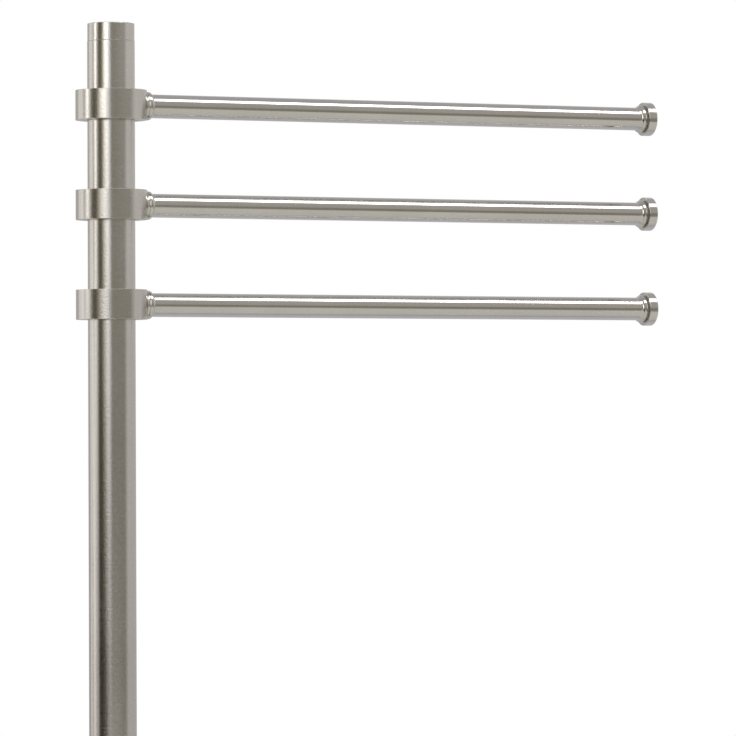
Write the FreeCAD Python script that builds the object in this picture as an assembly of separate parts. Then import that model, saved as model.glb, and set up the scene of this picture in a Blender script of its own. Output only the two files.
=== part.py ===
# Freestanding towel rack: a weighted round base, a one-inch post and three swing arms.
# Millimetres, +Z up. The origin is on the post's axis at floor level, and the arms lie along +X at rest.
import FreeCAD, Part
import math
import os

# Post: a plain tube with a flush plug in its top end
overall_height = 914.4
post_diameter = 25.4
post_wall = 1.6
top_cap_height = 9.525
top_cap_step = 0.15
top_cap_edge = 0.4
top_cap_spigot = 14.0
seam_chamfer = 0.12

# Swing arms: a collar round the post, and a half-inch tube that ends in a turned cap
arm_names = ("upper", "middle", "lower")
upper_arm_drop = 43.6
arm_pitch = 53.2
arm_reach = 304.8
arm_diameter = 12.7
arm_wall = 1.2
collar_diameter = 38.1
collar_height = 15.875
collar_edge = 0.06

# Nylon liner in each collar, and the dog-point screw behind that keeps the collar at its height
liner_wall = 1.5
liner_setback = 0.1
groove_width = 3.2
groove_depth = 0.7
set_screw_bearing = 90.0
set_screw_diameter = 5.0
set_screw_setback = 0.8
set_screw_socket = 2.5
set_screw_socket_depth = 2.0
dog_length = 0.5
dog_end_gap = 0.2
dog_side_gap = 0.1

# Stud that joins an arm to its collar
stud_diameter = 6.0
stud_setback = 0.5
stud_grip = 13.0
stud_chamfer = 0.6
stud_bottom_gap = 1.0

# Turned necks: a cove and a bead on the tube, then a flare onto the collar or an undercut behind the disc
cove_rise = 1.0
bead_length = 2.0
bead_rise = 0.3
root_cove_length = 1.0
saddle_rise = 0.7
flare_rise = 0.3
flare_hollow = 0.4
tip_cove_length = 1.7
undercut_length = 0.6
undercut_rise = 0.2
spigot_length = 12.0
spigot_chamfer = 0.8

# Disc on the free end of an arm
disc_diameter = 18.6
disc_thickness = 5.0
disc_edge = 0.5
disc_crown = 0.5

# Base: a spun cover over a cast weight, bolted to the post from below, on a felt pad
base_diameter = 254.0
base_height = 20.0
base_rim_height = 12.5
base_shoulder = 4.0
inner_shoulder_least = 0.8
base_land_diameter = 64.0
cover_wall = 1.2
cover_floor_gap = 1.2
weight_gap = 0.3
pad_thickness = 3.0
pad_inset = 6.0
flange_diameter = 50.8
flange_height = 12.0
flange_edge = 2.4
foot_length = 34.0
bolt_diameter = 10.0
bolt_grip = 24.0
bolt_bottom_gap = 3.0
bolt_head_flats = 16.0
bolt_head_height = 6.4
bolt_hole_gap = 0.5
washer_diameter = 24.0
washer_thickness = 2.0
bolt_well_gap = 1.0

# Fits
swivel_gap = 0.06
press_gap = 0.05
thread_gap = 0.05

# Sizes that follow from those above
post_radius = post_diameter / 2
post_bore = post_radius - post_wall
arm_radius = arm_diameter / 2
arm_bore = arm_radius - arm_wall
collar_radius = collar_diameter / 2
liner_inner = post_radius + swivel_gap
liner_outer = liner_inner + liner_wall
collar_bore = liner_outer + press_gap
groove_floor = post_radius - groove_depth
dog_radius = groove_width / 2 - dog_side_gap
bead_radius = arm_radius + cove_rise
rod_start = collar_radius + saddle_rise + bead_length + root_cove_length
arm_tip = collar_radius + arm_reach
rod_end = arm_tip - disc_thickness - undercut_length - bead_length - tip_cove_length
base_radius = base_diameter / 2
land_radius = base_land_diameter / 2
tube_top = overall_height - top_cap_height
weight_top = base_height - cover_wall
bolt_well_top = pad_thickness + bolt_head_height + washer_thickness + bolt_well_gap

origin = FreeCAD.Vector(0, 0, 0)
x_axis = FreeCAD.Vector(1, 0, 0)
z_axis = FreeCAD.Vector(0, 0, 1)
tolerance = 1e-6


def about_post(radius, height):
    return FreeCAD.Vector(radius, 0, height)


def about_arm(along, radius):
    return FreeCAD.Vector(along, 0, radius)


def turned(outline, to_point):
    """Revolves a closed outline. A step of two points is an arc, through the first and to the second."""
    edges = []
    here = outline[0]
    for step in [*outline[1:], outline[0]]:
        if isinstance(step[0], tuple):
            through, there = step
            edges.append(Part.Arc(to_point(*here), to_point(*through), to_point(*there)).toShape())
        else:
            there = step
            edges.append(Part.LineSegment(to_point(*here), to_point(*there)).toShape())
        here = there
    axis = z_axis if to_point is about_post else x_axis
    return Part.Face(Part.Wire(edges)).revolve(origin, axis, 360)


def rounded(corner, arrive, leave, radius):
    """The two steps that round a square corner of an outline, met along arrive and left along leave."""
    start = (corner[0] - arrive[0] * radius, corner[1] - arrive[1] * radius)
    end = (corner[0] + leave[0] * radius, corner[1] + leave[1] * radius)
    bulge = radius * (1 - math.sqrt(0.5))
    through = (
        corner[0] + (leave[0] - arrive[0]) * bulge,
        corner[1] + (leave[1] - arrive[1]) * bulge,
    )
    return start, (through, end)


def hexagon(across_flats, height, base, direction):
    """A six-sided bar whose foot is centred on base."""
    corner_radius = across_flats / math.sqrt(3)
    side_way = FreeCAD.Vector(0, 1, 0)
    other_way = direction.cross(side_way)
    corners = []
    for k in range(7):
        turn = math.radians(60 * k)
        corners.append(base + side_way * (corner_radius * math.cos(turn))
                       + other_way * (corner_radius * math.sin(turn)))
    return Part.Face(Part.makePolygon(corners)).extrude(direction * height)


def on_circle(edge, radius, height):
    """True for a full circle round the post's axis, of that radius and at that height."""
    if not isinstance(edge.Curve, Part.Circle):
        return False
    centre = edge.Curve.Center
    return abs(edge.Curve.Radius - radius) < tolerance and abs(centre.z - height) < tolerance


def base_dome(inset, bottom, land_inset):
    """The base's outer form, taken in by inset: a flat land, a shallow arc that leaves it level,
    and a rim with a rounded shoulder."""
    drop = base_height - base_rim_height
    run = base_radius - land_radius
    dome_radius = (run ** 2 + drop ** 2) / (2 * drop) - inset
    centre_height = base_height - inset - dome_radius

    def dome_at(radius):
        return centre_height + math.sqrt(dome_radius ** 2 - (radius - land_radius) ** 2)

    rim = base_radius - inset
    halfway = (land_radius + rim) / 2
    land = base_height - land_inset
    outline = [
        (0, bottom),
        (rim, bottom),
        (rim, dome_at(rim)),
        ((halfway, dome_at(halfway)), (land_radius, dome_at(land_radius))),
    ]
    if land_inset < inset:
        outline.append((land_radius, land))
    solid = turned([*outline, (0, land)], about_post)
    shoulder = [e for e in solid.Edges if on_circle(e, rim, dome_at(rim))]
    return solid.makeFillet(max(base_shoulder - inset, inner_shoulder_least), shoulder)


def floor_pad():
    """Felt disc, stuck under the weight. It covers the bolt."""
    return Part.makeCylinder(base_radius - pad_inset, pad_thickness)


def base_weight():
    """Cast disc with a well for the bolt's head and a raised seat under the cover's land."""
    weight = base_dome(cover_wall + weight_gap, pad_thickness, cover_wall)
    hole = Part.makeCylinder(bolt_diameter / 2 + bolt_hole_gap, base_height)
    well = Part.makeCylinder(washer_diameter / 2 + bolt_well_gap, bolt_well_top)
    return weight.cut(hole.fuse(well))


def base_cover():
    """Spun metal skin over the weight, open below."""
    shell = base_dome(0, cover_floor_gap, 0).cut(base_dome(cover_wall, 0, cover_wall))
    return shell.cut(Part.makeCylinder(bolt_diameter / 2 + bolt_hole_gap, base_height + cover_wall))


def base_washer():
    ring = Part.makeCylinder(washer_diameter / 2, washer_thickness)
    ring = ring.cut(Part.makeCylinder(bolt_diameter / 2 + bolt_hole_gap, washer_thickness))
    ring.translate(z_axis * (bolt_well_top - washer_thickness))
    return ring


def base_bolt():
    """Hexagon bolt from below, up through the washer, the weight and the cover into the post's foot."""
    head_top = bolt_well_top - washer_thickness
    head = hexagon(bolt_head_flats, bolt_head_height, z_axis * (head_top - bolt_head_height), z_axis)
    shank = Part.makeCylinder(bolt_diameter / 2, base_height + bolt_grip - head_top, z_axis * head_top)
    return head.fuse(shank).removeSplitter()


def post_foot():
    """Plug brazed into the tube's lower end, bored for the bolt."""
    plug = Part.makeCylinder(post_bore - press_gap, foot_length, z_axis * base_height)
    bore_depth = bolt_grip + bolt_bottom_gap
    return plug.cut(Part.makeCylinder(bolt_diameter / 2 + thread_gap, bore_depth, z_axis * base_height))


def post_flange():
    """Turned ring that hides the foot of the post."""
    bore = post_radius + press_gap
    rim = flange_diameter / 2
    top = base_height + flange_height
    return turned(
        [
            (bore, base_height),
            (rim, base_height),
            *rounded((rim, top), (0, 1), (-1, 0), flange_edge),
            (bore, top),
        ],
        about_post,
    )


def post_tube():
    """Tube from the base's land to the top cap, with one shallow groove for each collar's screw."""
    tube = Part.makeCylinder(post_radius, tube_top - base_height, z_axis * base_height)
    tube = tube.cut(Part.makeCylinder(post_bore, tube_top - base_height, z_axis * base_height))
    tube = tube.makeChamfer(seam_chamfer, [e for e in tube.Edges if on_circle(e, post_radius, tube_top)])
    for number in range(len(arm_names)):
        low = arm_height(number) - groove_width / 2
        high = low + groove_width
        tube = tube.cut(turned(
            [(groove_floor, low), (post_diameter, low), (post_diameter, high), (groove_floor, high)],
            about_post,
        ))
    return tube


def top_cap():
    """Flush plug, a hair smaller than the tube. Both are broken at the seam, which shows as a fine line."""
    rim = post_radius - top_cap_step
    spigot = post_bore - press_gap
    foot = tube_top - top_cap_spigot
    return turned(
        [
            (0, foot),
            (spigot, foot),
            (spigot, tube_top),
            (rim - seam_chamfer, tube_top),
            (rim, tube_top + seam_chamfer),
            *rounded((rim, overall_height), (0, 1), (-1, 0), top_cap_edge),
            (0, overall_height),
        ],
        about_post,
    )


def arm_height(number):
    return overall_height - upper_arm_drop - number * arm_pitch


def behind(shape):
    """Swings a shape made along the arm round to the back of the collar, where the screw sits."""
    return shape.rotated(origin, z_axis, set_screw_bearing)


def collar():
    """Turned ring, cross-drilled for the arm's stud in front and for the dog-point screw behind."""
    half = collar_height / 2
    ring = turned(
        [
            (collar_bore, -half),
            *rounded((collar_radius, -half), (1, 0), (0, 1), collar_edge),
            *rounded((collar_radius, half), (0, 1), (-1, 0), collar_edge),
            (collar_bore, half),
        ],
        about_post,
    )
    stud_hole = Part.makeCylinder(stud_diameter / 2 + thread_gap, collar_diameter, origin, x_axis)
    screw_hole = Part.makeCylinder(set_screw_diameter / 2 + thread_gap, collar_diameter, origin, x_axis)
    return ring.cut(stud_hole).cut(behind(screw_hole))


def liner():
    """Nylon sleeve that the collar turns on, holed for the dog point."""
    half = collar_height / 2 - liner_setback
    sleeve = turned(
        [(liner_inner, -half), (liner_outer, -half), (liner_outer, half), (liner_inner, half)],
        about_post,
    )
    dog_hole = Part.makeCylinder(dog_radius + thread_gap, collar_diameter, origin, x_axis)
    return sleeve.cut(behind(dog_hole))


def set_screw():
    """Dog-point grub screw: its tip runs in the post's groove, so the collar turns but can't drop."""
    shoulder = collar_bore + dog_length
    outer_end = collar_radius - set_screw_setback
    tip = groove_floor + dog_end_gap
    screw = turned(
        [
            (tip, 0),
            (tip, dog_radius),
            (collar_bore, dog_radius),
            (shoulder, set_screw_diameter / 2),
            (outer_end, set_screw_diameter / 2),
            (outer_end, 0),
        ],
        about_arm,
    )
    socket = hexagon(set_screw_socket, set_screw_socket_depth, x_axis * outer_end, -x_axis)
    return behind(screw.cut(socket))


def stud():
    """Threaded rod, screwed partly into the collar and partly into the ferrule."""
    start = collar_bore + stud_setback
    end = collar_radius + stud_grip
    radius = stud_diameter / 2
    return turned(
        [
            (start, 0),
            (start, radius - stud_chamfer),
            (start + stud_chamfer, radius),
            (end - stud_chamfer, radius),
            (end, radius - stud_chamfer),
            (end, 0),
        ],
        about_arm,
    )


def cove_and_bead(start, cove_length, way):
    """Outline steps that leave the tube smoothly at start, climb a cove to a bead and go over it,
    along the arm in the given way."""
    cove_radius = (cove_length ** 2 + cove_rise ** 2) / (2 * cove_rise)
    half_turn = math.atan2(cove_rise, cove_length)
    cove_middle = (
        start + way * cove_radius * math.sin(half_turn),
        arm_radius + cove_radius * (1 - math.cos(half_turn)),
    )
    bead_start = start + way * cove_length
    bead_end = bead_start + way * bead_length
    return [
        (start, arm_radius),
        (cove_middle, (bead_start, bead_radius)),
        ((bead_start + way * bead_length / 2, bead_radius + bead_rise), (bead_end, bead_radius)),
    ]


def spigot(start, way):
    """Outline steps of the plug that enters the tube, from the axis out to the tube's end face."""
    plug = arm_bore - press_gap
    end = start - way * spigot_length
    return [
        (end, 0),
        (end, plug - spigot_chamfer),
        (end + way * spigot_chamfer, plug),
        (start, plug),
    ]


def ferrule():
    """Turned fitting at the arm's root. It flares behind its bead and is hollowed to sit on the collar."""
    back = collar_bore
    bead_end = collar_radius + saddle_rise
    flare_end = math.sqrt(collar_radius ** 2 - bead_radius ** 2)
    flare_middle = ((bead_end + flare_end) / 2, bead_radius - flare_hollow)
    flare_radius = bead_radius + flare_rise
    body = turned(
        [
            *spigot(rod_start, -1),
            *cove_and_bead(rod_start, root_cove_length, -1),
            (flare_middle, (flare_end, flare_radius)),
            (back, flare_radius),
            (back, 0),
        ],
        about_arm,
    )
    seat = Part.makeCylinder(collar_radius + press_gap, 2 * collar_height, z_axis * -collar_height)
    stud_end = collar_radius + stud_grip + stud_bottom_gap
    return body.cut(seat).cut(Part.makeCylinder(stud_diameter / 2 + thread_gap, stud_end, origin, x_axis))


def rod():
    tube = Part.makeCylinder(arm_radius, rod_end - rod_start, x_axis * rod_start, x_axis)
    return tube.cut(Part.makeCylinder(arm_bore, rod_end - rod_start, x_axis * rod_start, x_axis))


def end_cap():
    """Turned cap: a spigot, the neck, and a disc that keeps towels on the arm."""
    undercut = arm_radius + undercut_rise
    disc_radius = disc_diameter / 2
    disc_back = arm_tip - disc_thickness
    face_edge = disc_radius - disc_edge
    crown_radius = (face_edge ** 2 + disc_crown ** 2) / (2 * disc_crown)
    crown_centre = arm_tip + disc_crown - crown_radius
    crown_middle = crown_centre + math.sqrt(crown_radius ** 2 - (face_edge / 2) ** 2)
    return turned(
        [
            *spigot(rod_end, 1),
            *cove_and_bead(rod_end, tip_cove_length, 1),
            (disc_back - undercut_length, undercut),
            (disc_back, undercut),
            *rounded((disc_back, disc_radius), (0, 1), (1, 0), disc_edge / 2),
            *rounded((arm_tip, disc_radius), (1, 0), (0, -1), disc_edge),
            ((crown_middle, face_edge / 2), (arm_tip + disc_crown, 0)),
        ],
        about_arm,
    )


def build():
    """Every piece of the rack by name, in place."""
    pieces = {
        "floor_pad": floor_pad(),
        "base_weight": base_weight(),
        "base_cover": base_cover(),
        "base_washer": base_washer(),
        "base_bolt": base_bolt(),
        "post_foot": post_foot(),
        "post_flange": post_flange(),
        "post_tube": post_tube(),
        "top_cap": top_cap(),
    }
    makers = {
        "collar": collar,
        "liner": liner,
        "set_screw": set_screw,
        "stud": stud,
        "ferrule": ferrule,
        "rod": rod,
        "end_cap": end_cap,
    }
    for number, arm in enumerate(arm_names):
        for piece, make in makers.items():
            shape = make()
            shape.translate(z_axis * arm_height(number))
            pieces[f"{arm}_{piece}"] = shape
    return pieces


os.makedirs("parts", exist_ok=True)
for name, shape in build().items():
    if not shape.isValid():
        raise ValueError(f"{name} is not a valid solid")
    shape.exportStep(f"parts/{name}.step")
    print(f"{name}: {len(shape.Solids)} solid, {shape.Volume:.1f} mm3")
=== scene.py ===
import math

import bmesh
import bpy
from mathutils import Matrix, Vector, noise


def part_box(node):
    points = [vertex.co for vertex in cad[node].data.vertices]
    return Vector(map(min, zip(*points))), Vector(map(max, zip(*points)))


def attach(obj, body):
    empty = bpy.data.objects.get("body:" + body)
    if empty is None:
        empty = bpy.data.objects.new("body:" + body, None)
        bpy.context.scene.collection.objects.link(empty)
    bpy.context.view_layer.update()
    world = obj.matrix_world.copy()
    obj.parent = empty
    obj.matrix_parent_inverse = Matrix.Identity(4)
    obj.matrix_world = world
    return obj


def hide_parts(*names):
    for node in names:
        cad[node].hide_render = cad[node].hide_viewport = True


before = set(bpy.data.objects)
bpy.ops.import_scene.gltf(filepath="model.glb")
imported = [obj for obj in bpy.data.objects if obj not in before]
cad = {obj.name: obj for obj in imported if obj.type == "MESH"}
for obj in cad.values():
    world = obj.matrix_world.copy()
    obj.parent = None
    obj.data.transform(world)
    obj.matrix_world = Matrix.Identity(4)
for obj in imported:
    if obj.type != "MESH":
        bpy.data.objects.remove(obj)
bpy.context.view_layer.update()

scene = bpy.context.scene


# Floor pad: a disc of pressed grey wool felt that spares the floor.
# Die-cut and glued under the weight. Its lower edge has rounded and its face is a little uneven.
pad_low, pad_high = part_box("floor_pad")
pad_radius = pad_high.x
pad_edge = 0.0009
pad_edge_steps = 4
pad_sides = 180
pad_rings = 30
felt_dark = (0.045, 0.045, 0.050)
felt_light = (0.150, 0.148, 0.150)
felt_fibre_depth = 0.0005
felt_lump = 0.00020
felt_lump_size = 0.008
felt_rim_waver = 0.0004
sharp_edge = math.radians(32)


def ringed(name, rings, place, sides):
    """A closed mesh of rings. A ring is a place along an axis, and a radius or a function of the turn."""
    shape = bmesh.new()
    loops = []
    for along, radius in rings:
        loop = []
        for k in range(sides):
            turn = math.tau * k / sides
            reach = radius(turn) if callable(radius) else radius
            loop.append(shape.verts.new(place(along, reach, turn)))
        loops.append(loop)
    for near, far in zip(loops, loops[1:]):
        for k in range(sides):
            shape.faces.new((near[k - 1], near[k], far[k], far[k - 1]))
    shape.faces.new(loops[0])
    shape.faces.new(loops[-1])
    bmesh.ops.recalc_face_normals(shape, faces=shape.faces)
    mesh = bpy.data.meshes.new(name)
    shape.to_mesh(mesh)
    shape.free()
    mesh.shade_smooth()
    mesh.set_sharp_from_angle(angle=sharp_edge)
    piece = bpy.data.objects.new(name, mesh)
    scene.collection.objects.link(piece)
    return piece


def up_the_post(along, radius, turn):
    return Vector((radius * math.cos(turn), radius * math.sin(turn), along))


def wire(tree, kind, inputs, **settings):
    """Adds a shader node. An input is a value, or another node's output to link."""
    made = tree.nodes.new("ShaderNode" + kind)
    for key, value in settings.items():
        setattr(made, key, value)
    for key, value in inputs.items():
        if isinstance(value, bpy.types.NodeSocket):
            tree.links.new(value, made.inputs[key])
        else:
            made.inputs[key].default_value = value
    return made


def grain(tree, place, scale, detail=2.0, roughness=0.5):
    """Noise of so many lumps to the metre."""
    made = wire(tree, "TexNoise", {"Vector": place, "Scale": scale, "Detail": detail, "Roughness": roughness})
    return made.outputs[0]


def times(tree, one, other):
    """One amount multiplied by another."""
    return wire(tree, "Math", {0: one, 1: other}, operation="MULTIPLY").outputs[0]


def shades(tree, amount, dark, light, start=0.3, end=0.7):
    """Goes from a dark to a light colour as amount goes from start to end."""
    made = wire(tree, "ValToRGB", {0: amount})
    for element, place, colour in zip(made.color_ramp.elements, (start, end), (dark, light)):
        element.position = place
        element.color = (*colour, 1)
    return made.outputs[0]


def levels(tree, amount, low, high, start=0.3, end=0.7):
    """Goes from low to high as amount goes from start to end."""
    made = wire(tree, "MapRange", {0: amount, 1: start, 2: end, 3: low, 4: high})
    return made.outputs[0]


def relief(tree, height, depth, under=None):
    """A normal for bumps of that depth, over another normal if there is one."""
    made = wire(tree, "Bump", {"Height": height, "Distance": depth, "Strength": 1.0})
    if under:
        tree.links.new(under, made.inputs["Normal"])
    return made.outputs[0]


def finish(name):
    """A new material: itself, its tree, its shader's inputs and the piece's own coordinates."""
    material = bpy.data.materials.new(name)
    material.use_nodes = True
    tree = material.node_tree
    place = tree.nodes.new("ShaderNodeTexCoord").outputs["Object"]
    return material, tree, tree.nodes["Principled BSDF"].inputs, place


felt, tree, surface, place = finish("pressed_felt")
fibres = grain(tree, place, 1500, detail=6, roughness=0.75)
clumps = grain(tree, place, 90, detail=3)
mottle = times(tree, fibres, clumps)
tree.links.new(shades(tree, mottle, felt_dark, felt_light, start=0.14, end=0.36), surface["Base Color"])
tree.links.new(relief(tree, fibres, felt_fibre_depth), surface["Normal"])
surface["Roughness"].default_value = 0.95
surface["Sheen Weight"].default_value = 0.4
surface["Sheen Roughness"].default_value = 0.6

rings = [(pad_low.z, (pad_radius - pad_edge) * k / pad_rings) for k in range(1, pad_rings + 1)]
for k in range(1, pad_edge_steps + 1):
    slope = math.pi / 2 * k / pad_edge_steps
    rise = pad_edge * (1 - math.cos(slope))
    rings.append((pad_low.z + rise, pad_radius - pad_edge * (1 - math.sin(slope))))
rings += [(pad_high.z, pad_radius), (pad_high.z, pad_radius / 2)]
pad = ringed("felt_pad", rings, up_the_post, pad_sides)
for vert in pad.data.vertices:
    lump = (noise.noise(vert.co / felt_lump_size) + 1) / 2
    rim = (noise.noise(vert.co / felt_lump_size, noise_basis="CELLNOISE") + 1) / 2
    if vert.co.z < pad_high.z:
        vert.co.z += felt_lump * lump
    across = vert.co.xy.length
    if across > pad_radius - pad_edge:
        vert.co.xy *= 1 - felt_rim_waver * rim / across
pad.data.materials.append(felt)
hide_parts("floor_pad")
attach(pad, "stand")


# Base weight: a heavy disc of grey iron, sand-cast, that keeps the rack upright.
# It fills the cover, stands on the felt, and has a well below for the bolt's head.
iron_dark = (0.050, 0.049, 0.048)
iron_light = (0.120, 0.112, 0.104)
sand_depth = 0.00035


def dress(name, material):
    """Gives a CAD piece its finish."""
    cad[name].data.materials.clear()
    cad[name].data.materials.append(material)


cast_iron, tree, surface, place = finish("cast_iron")
sand = grain(tree, place, 900, detail=4, roughness=0.65)
scale_patches = grain(tree, place, 55, detail=4, roughness=0.6)
tree.links.new(shades(tree, scale_patches, iron_dark, iron_light), surface["Base Color"])
tree.links.new(levels(tree, sand, 0.62, 0.86), surface["Roughness"])
tree.links.new(relief(tree, sand, sand_depth), surface["Normal"])
surface["Metallic"].default_value = 0.7
dress("base_weight", cast_iron)


# Base cover: a sheet metal skin, spun over a former and drawn down round the weight.
# Satin nickel plate, with the faint rings of the spinning and a soft rolled shoulder.
nickel_light = (0.640, 0.620, 0.570)
nickel_dark = (0.600, 0.580, 0.530)
untinted = (1, 1, 1)
line_tint = (0.98, 0.98, 0.98)
speck_tint = (0.93, 0.93, 0.93)
# Colour in deep creases: painted shade, darker where the creases are deep.
crease_painted_shade = (0.88, 0.86, 0.82)
crease_shut, crease_open = 0.30, 0.80
crease_reach = 0.0018
edge_reach = 0.0007
corner_samples = 6
post_axis = Vector((0, 0, 1))
post_foot_place = Vector((0, 0, 0))
spinning_rings = 900


def turning(tree, place, centre, axis, scale):
    """Fine tool marks round an axis, on faces along it and across it."""
    offset = wire(tree, "VectorMath", {0: place, 1: centre}, operation="SUBTRACT").outputs[0]
    along = wire(tree, "VectorMath", {0: offset, 1: axis}, operation="DOT_PRODUCT").outputs["Value"]
    flat = wire(tree, "VectorMath", {0: offset, 1: Vector((1, 1, 1)) - axis}, operation="MULTIPLY").outputs[0]
    across = wire(tree, "VectorMath", {0: flat}, operation="LENGTH").outputs["Value"]
    path = wire(tree, "Math", {0: along, 1: across}, operation="ADD").outputs[0]
    made = wire(tree, "TexNoise", {"W": path, "Scale": scale, "Detail": 3}, noise_dimensions="1D")
    return made.outputs[0]


def tinted(tree, colour, tint):
    """One colour multiplied by another."""
    made = wire(tree, "Mix", {0: 1.0, 6: colour, 7: tint}, data_type="RGBA", blend_type="MULTIPLY")
    return made.outputs[2]


def nickel(name, roughness, satin_depth, mark_depth, marks, edge_gloss, crease_dull, crease_metal=1.0):
    """Nickel plate: tone patches, satin grain over tool marks, burnished edges, dull creases with painted
    shade.
    """
    material, tree, surface, place = finish(name)
    satin = grain(tree, place, 1150, roughness=0.6)
    specks = grain(tree, place, 1000, detail=1)
    patches = grain(tree, place, 30, detail=3)
    lines = marks(tree, place)
    edges = wire(tree, "AmbientOcclusion", {"Distance": edge_reach},
                 inside=True, only_local=True, samples=corner_samples).outputs["AO"]
    creases = wire(tree, "AmbientOcclusion", {"Distance": crease_reach}, samples=corner_samples).outputs["AO"]
    tone = shades(tree, patches, nickel_dark, nickel_light)
    # Painted shade: the colour darkens in creases, where shade falls.
    tone = tinted(tree, tone, shades(tree, creases, crease_painted_shade, untinted, start=0.25, end=0.75))
    tone = tinted(tree, tone, shades(tree, lines, line_tint, untinted))
    tone = tinted(tree, tone, shades(tree, specks, speck_tint, untinted))
    tree.links.new(tone, surface["Base Color"])
    gloss = levels(tree, patches, 0.93 * roughness, 1.09 * roughness)
    gloss = times(tree, gloss, levels(tree, lines, 0.92, 1.08))
    gloss = times(tree, gloss, levels(tree, edges, edge_gloss, 1.0, start=0.4, end=0.9))
    gloss = times(tree, gloss, levels(tree, specks, 0.82, 1.18))
    unbuffed = levels(tree, creases, crease_dull, 0.0, crease_shut, crease_open)
    gloss = wire(tree, "Math", {0: gloss, 1: unbuffed}, operation="ADD").outputs[0]
    tree.links.new(gloss, surface["Roughness"])
    tree.links.new(relief(tree, satin, satin_depth, relief(tree, lines, mark_depth)), surface["Normal"])
    surface["Metallic"].default_value = 1.0
    if crease_metal < 1.0:
        greyed = levels(tree, creases, crease_metal, 1.0, crease_shut, crease_open)
        tree.links.new(greyed, surface["Metallic"])
    return material


def spun(tree, place):
    return turning(tree, place, post_foot_place, post_axis, spinning_rings)


spun_nickel = nickel("spun_nickel", roughness=0.21, satin_depth=0.000060, mark_depth=0.000010, marks=spun,
                     edge_gloss=1.0, crease_dull=0.1)
dress("base_cover", spun_nickel)


# Washer and bolt: a hexagon bolt, M10, comes up through the weight into the foot of the post.
# Rolled thread, zinc plated steel, with a plain stamped washer under the head.
bolt_low, bolt_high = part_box("base_bolt")
bolt_radius = 0.005
bolt_pitch = 0.0015
bolt_chamfer = 0.001
bolt_head_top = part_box("base_washer")[0].z
bolt_sides = 48
head_corner = bolt_high.y
head_face = bolt_high.x * 0.94
head_chamfer = 0.0012
head_chamfer_steps = 5
thread_depth_in_pitches = 0.61
thread_crest_flat, thread_root_flat = 1 / 8, 3 / 4
thread_steps = 12
zinc_blue = (0.46, 0.48, 0.52)
zinc_yellow = (0.64, 0.63, 0.58)
zinc_pit_depth = 0.00002


def hexagon(flats):
    """The radius of a six-sided bar at each turn."""
    sixth = math.tau / 6

    def reach(turn):
        return flats / 2 / math.cos((turn + sixth / 2) % sixth - sixth / 2)

    return reach


def thread(crest, pitch, along, limit):
    """The radius of a screw thread at each turn, no more than limit."""
    depth = thread_depth_in_pitches * pitch
    flank = thread_root_flat - thread_crest_flat

    def reach(turn):
        off_crest = abs((along / pitch - turn / math.tau) % 1 - 0.5) * 2
        fall = min(max((off_crest - thread_crest_flat) / flank, 0), 1)
        return min(crest - depth * fall, limit)

    return reach


def threaded(start, end, crest, pitch, chamfer):
    """Rings of a screw thread between two places, tapered by a chamfer at its far end."""
    count = round((end - start) / pitch * thread_steps)
    rings = []
    for k in range(count + 1):
        along = start + (end - start) * k / count
        limit = crest - max(chamfer - (end - along), 0)
        rings.append((along, thread(crest, pitch, along, limit)))
    return rings


zinc, tree, surface, place = finish("zinc_plate")
film = grain(tree, place, 160, detail=3, roughness=0.6)
pits = grain(tree, place, 2400, roughness=0.6)
tree.links.new(shades(tree, film, zinc_blue, zinc_yellow), surface["Base Color"])
tree.links.new(levels(tree, pits, 0.26, 0.42), surface["Roughness"])
tree.links.new(relief(tree, pits, zinc_pit_depth), surface["Normal"])
surface["Metallic"].default_value = 1.0

head_flats = hexagon(bolt_high.x - bolt_low.x)
rings = []
for k in range(head_chamfer_steps + 1):
    rise = head_chamfer * k / head_chamfer_steps
    cone = head_face + (head_corner - head_face) * k / head_chamfer_steps
    rings.append((bolt_low.z + rise, lambda turn, cone=cone: min(head_flats(turn), cone)))
rings += [(bolt_head_top, head_flats), (bolt_head_top, bolt_radius)]
rings += threaded(bolt_head_top + bolt_pitch, bolt_high.z, bolt_radius, bolt_pitch, bolt_chamfer)
bolt = ringed("base_bolt_threaded", rings, up_the_post, bolt_sides)
bolt.data.materials.append(zinc)
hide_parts("base_bolt")
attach(bolt, "stand")
dress("base_washer", zinc)


# Post foot: a steel plug, turned from bar, drilled and tapped for the bolt.
# Pressed into the lower end of the post and brazed, so its surface has a brown heat bloom.
bloom_brown = (0.33, 0.29, 0.25)
steel_grey = (0.50, 0.49, 0.47)
plug_rings = 1800
plug_ring_depth = 0.00003

bare_steel, tree, surface, place = finish("turned_steel")
lines = turning(tree, place, post_foot_place, post_axis, plug_rings)
bloom = grain(tree, place, 120, detail=4, roughness=0.6)
tree.links.new(shades(tree, bloom, bloom_brown, steel_grey), surface["Base Color"])
tree.links.new(levels(tree, lines, 0.30, 0.46), surface["Roughness"])
tree.links.new(relief(tree, lines, plug_ring_depth), surface["Normal"])
surface["Metallic"].default_value = 1.0
dress("post_foot", bare_steel)


# Post flange, post and top cap: a turned ring round the foot, an inch tube, and a flush plug on top.
# All plated in satin nickel: a fine blasted grain over faint turning rings.
post_rings = 1100


def turned_about_post(tree, place):
    return turning(tree, place, post_foot_place, post_axis, post_rings)


satin_nickel = nickel("satin_nickel", roughness=0.16, satin_depth=0.000040, mark_depth=0.000004,
                      marks=turned_about_post, edge_gloss=2.0, crease_dull=0.05)
for name in ("post_flange", "post_tube", "top_cap"):
    dress(name, satin_nickel)


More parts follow.
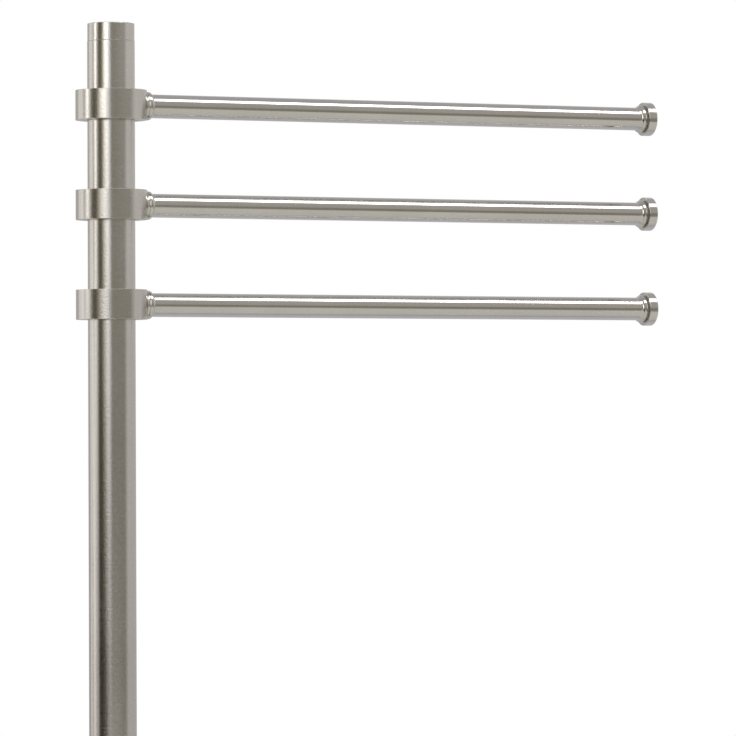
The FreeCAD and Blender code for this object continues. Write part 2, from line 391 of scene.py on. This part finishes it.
# Swing arms: three alike, each a satin collar that turns on the post on a white nylon liner.
# A grub screw behind, its dog point in the post's groove, keeps the collar at its height.
# A threaded stud in front joins the collar to its arm. Screw and stud are zinc plated steel.
arms = ("upper", "middle", "lower")
nylon_dark = (0.70, 0.68, 0.61)
nylon_light = (0.82, 0.80, 0.74)
rubbed_rings = 2600
rubbed_depth = 0.00002
screw_radius = 0.0025
screw_pitch = 0.0008
screw_dog_radius = 0.0015
screw_dog_length = 0.0021
screw_shoulder = 0.0005
screw_chamfer = 0.0004
screw_socket = 0.0025
screw_socket_depth = 0.002
screw_socket_tip = screw_socket / 6
screw_sides = 36
stud_radius = 0.003
stud_pitch = 0.001
stud_chamfer = 0.0006
stud_sides = 32

nylon, tree, surface, place = finish("natural_nylon")
haze = grain(tree, place, 220, detail=3)
rubbed = turning(tree, place, post_foot_place, post_axis, rubbed_rings)
tree.links.new(shades(tree, haze, nylon_dark, nylon_light), surface["Base Color"])
tree.links.new(levels(tree, rubbed, 0.38, 0.56), surface["Roughness"])
tree.links.new(relief(tree, rubbed, rubbed_depth), surface["Normal"])
surface["Subsurface Weight"].default_value = 0.25
surface["Subsurface Scale"].default_value = 0.001

for arm in arms:
    dress(f"{arm}_collar", satin_nickel)
    dress(f"{arm}_liner", nylon)
    body = f"{arm}_arm"
    low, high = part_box(f"{arm}_set_screw")
    height = (low.z + high.z) / 2

    def behind_collar(along, radius, turn):
        return Vector((radius * math.sin(turn), along, height + radius * math.cos(turn)))

    def out_of_collar(along, radius, turn):
        return Vector((along, radius * math.cos(turn), height + radius * math.sin(turn)))

    dog_end = low.y + screw_dog_length
    socket = hexagon(screw_socket)
    rings = [
        (low.y, screw_dog_radius - screw_chamfer / 2),
        (low.y + screw_chamfer / 2, screw_dog_radius),
        (dog_end, screw_dog_radius),
        *threaded(dog_end + screw_shoulder, high.y, screw_radius, screw_pitch, screw_chamfer),
        (high.y, socket),
        (high.y - screw_socket_depth, socket),
        (high.y - screw_socket_depth - screw_chamfer, screw_socket_tip),
    ]
    screw = ringed(f"{arm}_grub_screw", rings, behind_collar, screw_sides)
    start, end = (corner.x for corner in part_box(f"{arm}_stud"))
    rings = [
        (start, stud_radius - stud_chamfer),
        *threaded(start + stud_chamfer, end, stud_radius, stud_pitch, stud_chamfer),
    ]
    stud = ringed(f"{arm}_threaded_stud", rings, out_of_collar, stud_sides)
    for piece, replaced in ((screw, f"{arm}_set_screw"), (stud, f"{arm}_stud")):
        piece.data.materials.append(zinc)
        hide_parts(replaced)
        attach(piece, body)


# Ferrules, rods and end caps: a turned fitting on each collar, a half-inch tube, and a turned cap.
# Buffed before plating, so the nickel is brighter here, with faint draw lines along the tubes.
# In the creases the plate is duller and greyer, and its colour is darkened there as painted shade.
arm_axis = Vector((1, 0, 0))
fitting_rings = 3200
draw_line_spread = (6, 900, 900)
arm_crease_metal = 0.45


def drawn_lines(tree, place):
    stretched = wire(tree, "VectorMath", {0: place, 1: draw_line_spread}, operation="MULTIPLY").outputs[0]
    return grain(tree, stretched, 1.0, detail=3)


drawn_nickel = nickel("drawn_nickel", roughness=0.10, satin_depth=0.000003, mark_depth=0.000004,
                      marks=drawn_lines, edge_gloss=0.65, crease_dull=0.45, crease_metal=arm_crease_metal)
for arm in arms:
    low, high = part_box(f"{arm}_rod")
    centre = Vector((0, 0, (low.z + high.z) / 2))

    def turned_about_arm(tree, place):
        return turning(tree, place, centre, arm_axis, fitting_rings)

    turned_nickel = nickel(f"{arm}_turned_nickel", roughness=0.11, satin_depth=0.000020, mark_depth=0.000003,
                           marks=turned_about_arm, edge_gloss=0.65, crease_dull=0.12,
                           crease_metal=arm_crease_metal)
    dress(f"{arm}_rod", drawn_nickel)
    dress(f"{arm}_ferrule", turned_nickel)
    dress(f"{arm}_end_cap", turned_nickel)


# Floor: a plain pale sheet under the rack, which takes its shadow.
# Matt paint, fading into the white behind it well away from the base.
floor_radius = 2.8
floor_sides = 96
floor_fade_start = 0.35
floor_fade_end = 1.5
floor_near = (0.84, 0.835, 0.86)
floor_far = (0.85, 0.835, 0.80)
floor_turn_start = 0.0
floor_turn_end = 1.0
floor_grain_depth = 0.0002

shape = bmesh.new()
bmesh.ops.create_circle(shape, cap_ends=True, segments=floor_sides, radius=floor_radius)
mesh = bpy.data.meshes.new("studio_floor")
shape.to_mesh(mesh)
shape.free()
floor = bpy.data.objects.new("studio_floor", mesh)
scene.collection.objects.link(floor)
paint, tree, surface, place = finish("floor_paint")
away = wire(tree, "VectorMath", {0: place}, operation="LENGTH").outputs["Value"]
hue = shades(tree, away, floor_near, floor_far, floor_turn_start, floor_turn_end)
tree.links.new(hue, surface["Base Color"])
tree.links.new(relief(tree, grain(tree, place, 260, detail=3), floor_grain_depth), surface["Normal"])
surface["Roughness"].default_value = 0.9
fade = levels(tree, away, 0, 1, floor_fade_start, floor_fade_end)
fade = times(tree, fade, wire(tree, "LightPath", {}).outputs["Is Camera Ray"])
bright = wire(tree, "Emission", {"Color": (1, 1, 1, 1), "Strength": 1.0}).outputs[0]
sheet_and_white = wire(tree, "MixShader", {0: fade, 1: tree.nodes["Principled BSDF"].outputs[0], 2: bright})
tree.links.new(sheet_and_white.outputs[0], tree.nodes["Material Output"].inputs["Surface"])
mesh.materials.append(paint)


# Softboxes: three flat lamps that light the rack and show as the bright bands in its metal.
# A key and a strip stand to the camera's left, and a long one hangs over the arms.
camera_azimuth = -24.251
lamp_distance = 3.4
overhead = Vector((0.45, -1.30, 3.2))
overhead_width = 3.6
overhead_depth = 1.315
overhead_level = 2.3


def round_the_post(bearing, distance, height):
    """A place by its bearing from the camera's own, in degrees, positive to the camera's right."""
    turn = math.radians(camera_azimuth + bearing)
    return Vector((math.sin(turn) * distance, -math.cos(turn) * distance, height))


def softbox(name, place, target, width, tall, level):
    """A rectangular lamp that shines at so many times white."""
    lamp = bpy.data.lights.new(name, "AREA")
    lamp.shape = "RECTANGLE"
    lamp.size = width
    lamp.size_y = tall
    lamp.energy = level * math.pi * width * tall
    box = bpy.data.objects.new(name, lamp)
    facing = (target - place).to_track_quat("-Z", "Y").to_matrix().to_4x4()
    box.matrix_world = Matrix.Translation(place) @ facing
    scene.collection.objects.link(box)


def standing_softbox(name, left, right, low, high, level):
    """A lamp that faces the post, between two bearings and two heights."""
    middle = round_the_post((left + right) / 2, lamp_distance, (low + high) / 2)
    width = 2 * lamp_distance * math.tan(math.radians(right - left) / 2)
    softbox(name, middle, Vector((0, 0, middle.z)), width, high - low, level)


standing_softbox("key_softbox", left=-33.0, right=-13.5, low=1.2, high=3.0, level=1.65)
standing_softbox("strip_softbox", left=-84.5, right=-74.0, low=1.0, high=3.0, level=1.15)
softbox("overhead_softbox", overhead, overhead - post_axis, overhead_width, overhead_depth, overhead_level)


# Studio wall: a curved wall round the rack, seen only in its metal, as are the sheets below.
# Painted board: pale behind and on the left, dark brown next to the key softbox and dim in front.
wall_distance = 3.7
wall_foot = -0.4
wall_rise = 2.0
ceiling_height = 3.35
sheet_step = 3.0
pale = Vector((1.0, 0.97, 0.965))
warm = Vector((1.0, 0.965, 0.87))
brown = Vector((1.0, 0.90, 0.66))

sheet_glow = bpy.data.materials.new("sheet_glow")
sheet_glow.use_nodes = True
sheet_glow.cycles.emission_sampling = "NONE"
tree = sheet_glow.node_tree
corner_light = wire(tree, "Attribute", {}, attribute_name="light").outputs
clear = wire(tree, "BsdfTransparent", {}).outputs[0]
shining = wire(tree, "Emission", {"Color": corner_light["Color"], "Strength": 1.0}).outputs[0]
feathered = wire(tree, "MixShader", {0: corner_light["Alpha"], 1: clear, 2: shining})
tree.links.new(feathered.outputs[0], tree.nodes["Material Output"].inputs["Surface"])


def sheet(name, rows):
    """A sheet seen only in reflections. A row's corners each have a place, a light and a cover."""
    shape = bmesh.new()
    light = shape.verts.layers.float_color.new("light")
    lines = []
    for row in rows:
        line = []
        for corner, colour, cover in row:
            line.append(shape.verts.new(corner))
            line[-1][light] = (*colour, cover)
        lines.append(line)
    for near, far in zip(lines, lines[1:]):
        for k in range(1, len(near)):
            shape.faces.new((near[k - 1], far[k - 1], far[k], near[k]))
    mesh = bpy.data.meshes.new(name)
    shape.to_mesh(mesh)
    shape.free()
    mesh.materials.append(sheet_glow)
    made = bpy.data.objects.new(name, mesh)
    scene.collection.objects.link(made)
    made.visible_camera = False
    made.visible_diffuse = False
    made.visible_shadow = False


def curved_sheet(name, distance, heights, bearings):
    """A sheet bent round the post. A height has a gain and a cover, and a bearing a light and a cover."""
    rows = []
    for (left, light, cover), (right, next_light, next_cover) in zip(bearings, bearings[1:]):
        steps = math.ceil((right - left) / sheet_step)
        for k in range(1 if rows else 0, steps + 1):
            part = k / steps
            spot = round_the_post(left + (right - left) * part, distance, 0)
            glow = light.lerp(next_light, part)
            veil = cover + (next_cover - cover) * part
            rows.append([(spot + post_axis * z, glow * gain, veil * shown) for z, gain, shown in heights])
    sheet(name, rows)


curved_sheet(
    "studio_wall", wall_distance,
    heights=((wall_foot, 1, 1), (ceiling_height, wall_rise, 1)),
    bearings=(
        (-195, pale * 0.40, 1), (-130, pale * 0.40, 1), (-127, pale * 0.72, 1), (-82, pale * 0.80, 1),
        (-70, pale * 0.52, 1), (-60, brown * 0.11, 1), (-42, brown * 0.11, 1), (-8, warm * 0.225, 1),
        (66, warm * 0.225, 1), (85, pale * 0.50, 1), (165, pale * 0.45, 1),
    ),
)


# Grey sheets: a side beside the strip softbox, a panel high on the right and a sweep low on the right.
# Plain paper and board with soft edges, stood in front of the wall.
card_distance = 3.6
side_light = pale * 0.62
side_foot = 0.65
side_full = 1.0
stone = Vector((1.0, 0.97, 0.92))
panel_light = stone * 0.50
panel_foot = 0.87
panel_full = 1.4
sweep_distance = 3.65
sweep_light = stone * 0.55
sweep_full = 0.0
sweep_top = 0.52


def plain_sheet(name, distance, light, heights, bearings):
    """A curved sheet of one light. Each height and each bearing has a cover."""
    curved_sheet(
        name, distance,
        heights=[(z, 1, shown) for z, shown in heights],
        bearings=[(bearing, light, cover) for bearing, cover in bearings],
    )


plain_sheet(
    "strip_side", card_distance, side_light,
    heights=((side_foot, 0), (side_full, 1), (ceiling_height, 1)),
    bearings=((-125, 0), (-103, 0.45), (-97, 1), (-91, 1), (-87, 0)),
)
plain_sheet(
    "grey_panel", card_distance, panel_light,
    heights=((panel_foot, 0), (panel_full, 1), (ceiling_height, 1)),
    bearings=((12, 0), (53, 1), (68, 1), (80, 0)),
)
plain_sheet(
    "paper_sweep", sweep_distance, sweep_light,
    heights=((wall_foot, 1), (sweep_full, 1), (sweep_top, 0)),
    bearings=((-14, 0), (6, 1), (20, 1), (44, 0.5), (70, 0)),
)


# White card: a bright reflector of foam board round the key softbox, warmer on its left.
# It begins low and fades there, so the band that it makes on the post weakens downwards.
cool = Vector((1.0, 1.0, 1.075))
card_foot = 0.2
card_full = 0.97
card_bright = 1.3
card_rise = 1.1

curved_sheet(
    "white_card", card_distance,
    heights=(
        (card_foot, 1, 0), (card_full, 1, 1), (card_bright, card_rise, 1), (ceiling_height, card_rise, 1),
    ),
    bearings=(
        (-46, warm * 1.45, 0), (-34, warm * 1.45, 0.5), (-19, pale * 1.40, 1), (-10, cool * 1.25, 1),
        (4, cool * 1.25, 0),
    ),
)


# Dark flag and skirting: dark brown cloth low on the left, for the dark bands of the lower post.
# The flag stands under the white card's left edge. The skirting is thinner, and stands under
# the strip softbox and the grey side next to it.
cloth_light = brown * 0.03
flag_distance = 3.5
flag_full = 0.4
flag_top = 1.0
skirting_distance = 3.55
skirting_full = 0.40
skirting_top = 0.66

plain_sheet(
    "black_flag", flag_distance, cloth_light,
    heights=((wall_foot, 1), (flag_full, 1), (flag_top, 0)),
    bearings=((-84, 0), (-70, 0.25), (-60, 1), (-34, 1), (-8, 0)),
)
plain_sheet(
    "low_skirting", skirting_distance, cloth_light,
    heights=((wall_foot, 1), (skirting_full, 1), (skirting_top, 0)),
    bearings=(
        (-118, 0), (-107, 0.42), (-100, 0.05), (-96, 0), (-91, 0), (-86, 0.22), (-80, 0.42), (-75, 0.2),
        (-70, 0),
    ),
)


# Leaning card: a slim strip of white board to the left of the strip softbox, leaning away from it.
# It draws a light line near the left edge of the post.
leaning_distance = 3.58
leaning_light = pale * 1.28
leaning_heights = (
    (0.34, -92, 0), (0.52, -94, 1), (0.68, -97, 1), (0.82, -104, 1), (0.95, -107, 0.9), (1.08, -106, 0.6),
    (1.20, -106, 0),
)
leaning_sides = ((-7, 0), (-2.5, 1), (2.5, 1), (7, 0))

sheet("leaning_card", [
    [
        (round_the_post(bearing + aside, leaning_distance, z), leaning_light, cover * shown)
        for aside, shown in leaning_sides
    ]
    for z, bearing, cover in leaning_heights
])


# Floor card: a cool sheet of paper on the floor behind the arms, with a painted shadow of the arms: dimmer
# right below them.
# The undersides of the rods and end caps show it.
floor_card_height = 0.001
floor_card_ends = (0.13, 3.0)
# Rows across the floor: a place, a light and a cover. The dimmer rows near the front are the arms' painted
# shadow.
floor_card_rows = (
    (-0.14, 0.53, 0), (-0.06, 0.53, 1), (0.05, 0.53, 1), (0.14, 0.60, 1), (0.3, 0.63, 1), (1.5, 0.63, 1),
    (2.6, 0.63, 0),
)

sheet("floor_card", [
    [(Vector((x, y, floor_card_height)), cool * level, cover) for x in floor_card_ends]
    for y, level, cover in floor_card_rows
])


# Overhead diffuser and ceiling: the softbox's brightest patch, just under it, and a plain grey ceiling.
# The patch fades out on all sides. It makes the light line where a rod shows the rod below it.
patch_drop = 0.01
patch_light = cool * 11.0
patch_along = ((1.0, 0), (1.2, 1), (1.75, 1), (2.0, 0))
patch_across = ((-1.75, 0), (-1.40, 0.85), (-1.20, 1), (-1.00, 0.85), (-0.80, 0))
ceiling_light = cool * 0.53
ceiling_reach = 4.2

sheet("overhead_diffuser", [
    [(Vector((x, y, overhead.z - patch_drop)), patch_light, cover * shown) for x, cover in patch_along]
    for y, shown in patch_across
])
sheet("ceiling", [
    [(Vector((x, y, ceiling_height)), ceiling_light, 1) for x in (-ceiling_reach, ceiling_reach)]
    for y in (-ceiling_reach, ceiling_reach)
])


# Backdrop: the open studio beyond the floor and the sheets.
# It is plain white to the lens and in the metal, and gives a soft level of light to the rest.
room_level = 0.55
white_level = 1.0

world = bpy.data.worlds.new("studio")
scene.world = world
world.use_nodes = True
tree = world.node_tree
rays = wire(tree, "LightPath", {}).outputs
seen = wire(tree, "Math", {0: rays["Is Camera Ray"], 1: rays["Is Glossy Ray"]}, operation="ADD").outputs[0]
seen = wire(tree, "Math", {0: seen, 1: rays["Is Transmission Ray"]}, operation="ADD", use_clamp=True)
soft = wire(tree, "Background", {"Color": (1, 1, 1, 1), "Strength": room_level}).outputs[0]
white = wire(tree, "Background", {"Color": (1, 1, 1, 1), "Strength": white_level}).outputs[0]
both = wire(tree, "MixShader", {0: seen.outputs[0], 1: soft, 2: white})
tree.links.new(both.outputs[0], tree.nodes["World Output"].inputs["Surface"])


# Camera: the photograph's own view, from a little below the arms and to the left of their front.
# A long lens, nearly level, aimed to the right of the post and a little below the lower arm.
upper_arm = (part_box("upper_rod")[0].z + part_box("upper_rod")[1].z) / 2
azimuth = math.radians(camera_azimuth)
elevation = math.radians(-0.792)
camera_roll = math.radians(-0.220)
camera_distance = 2.5658
aim_right = 0.13647
aim_drop = 0.14066
frame_pixels = 736
focal_pixels = 4814.7
sensor_millimetres = 36
near_limit = 0.05
far_limit = 50

ahead = Vector((
    -math.sin(azimuth) * math.cos(elevation),
    math.cos(azimuth) * math.cos(elevation),
    -math.sin(elevation),
))
right = Vector((math.cos(azimuth), math.sin(azimuth), 0))
up = right.cross(ahead)
tilted_right = right * math.cos(camera_roll) + up * math.sin(camera_roll)
tilted_up = up * math.cos(camera_roll) - right * math.sin(camera_roll)
aim = right * aim_right + Vector((0, 0, upper_arm - aim_drop))
lens = bpy.data.cameras.new("camera")
lens.sensor_width = sensor_millimetres
lens.lens = focal_pixels / frame_pixels * sensor_millimetres
lens.clip_start = near_limit
lens.clip_end = far_limit
camera = bpy.data.objects.new("camera", lens)
scene.collection.objects.link(camera)
facing = Matrix((tilted_right, tilted_up, -ahead)).transposed().to_4x4()
camera.matrix_world = Matrix.Translation(aim - ahead * camera_distance) @ facing
scene.camera = camera
scene.view_settings.view_transform = "Standard"
